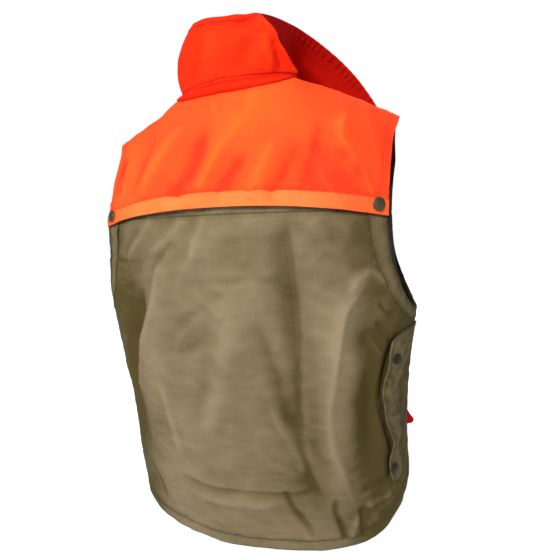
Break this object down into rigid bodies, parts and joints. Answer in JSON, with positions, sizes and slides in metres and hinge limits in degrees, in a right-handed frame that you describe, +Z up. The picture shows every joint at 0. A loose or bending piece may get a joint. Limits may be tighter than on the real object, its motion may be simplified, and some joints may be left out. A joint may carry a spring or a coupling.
{
  "type": "hunting vest",
  "caption": "Sleeveless hunting vest in its worn, hollow form: tall collar falling open at the neck, orange shoulder yoke, khaki body, side flaps and a front zip.",
  "frame": {"origin": "the nape: the middle of the back neck seam, where the wearer's shoulders and neck hold the vest", "axes": "+X to the wearer's left, +Y to the wearer's back, +Z up; the zip faces -Y"},
  "size_m": [0.5136, 0.2907, 0.7972],
  "materials": {
    "khaki_canvas": "matte cotton canvas",
    "blaze_orange": "matte brushed polyester",
    "collar_orange": "matte brushed polyester",
    "tab_red": "dull woven tape",
    "aged_brass": "aged, satin",
    "zip_black": "matte"
  },
  "bodies": {
    "vest": {"armhole_band_left": "khaki_canvas", "armhole_band_right": "khaki_canvas", "back_panel": "khaki_canvas", "back_yoke": "blaze_orange", "collar": "collar_orange", "flap_snap_lower_left": "aged_brass", "flap_snap_lower_right": "aged_brass", "flap_snap_upper_left": "aged_brass", "flap_snap_upper_right": "aged_brass", "front_left": "khaki_canvas", "front_right": "khaki_canvas", "front_yoke_left": "blaze_orange", "front_yoke_right": "blaze_orange", "neck_band": "blaze_orange", "side_flap_left": "khaki_canvas", "side_flap_right": "khaki_canvas", "side_tab_left": "tab_red", "side_tab_right": "tab_red", "yoke_snap_left": "aged_brass", "yoke_snap_right": "aged_brass", "zip_chain": "zip_black", "zip_slider": "aged_brass", "zip_tape_left": "zip_black", "zip_tape_right": "zip_black"},
    "pull": {"zip_pull": "aged_brass"}
  },
  "joints": [
    {"name": "pull_hinge", "type": "hinge", "parent": "vest", "child": "pull", "pos_m": [0, -0.23288, -0.236], "axis": [-1, 0, 0], "range_deg": [0, 150]}
  ]
}
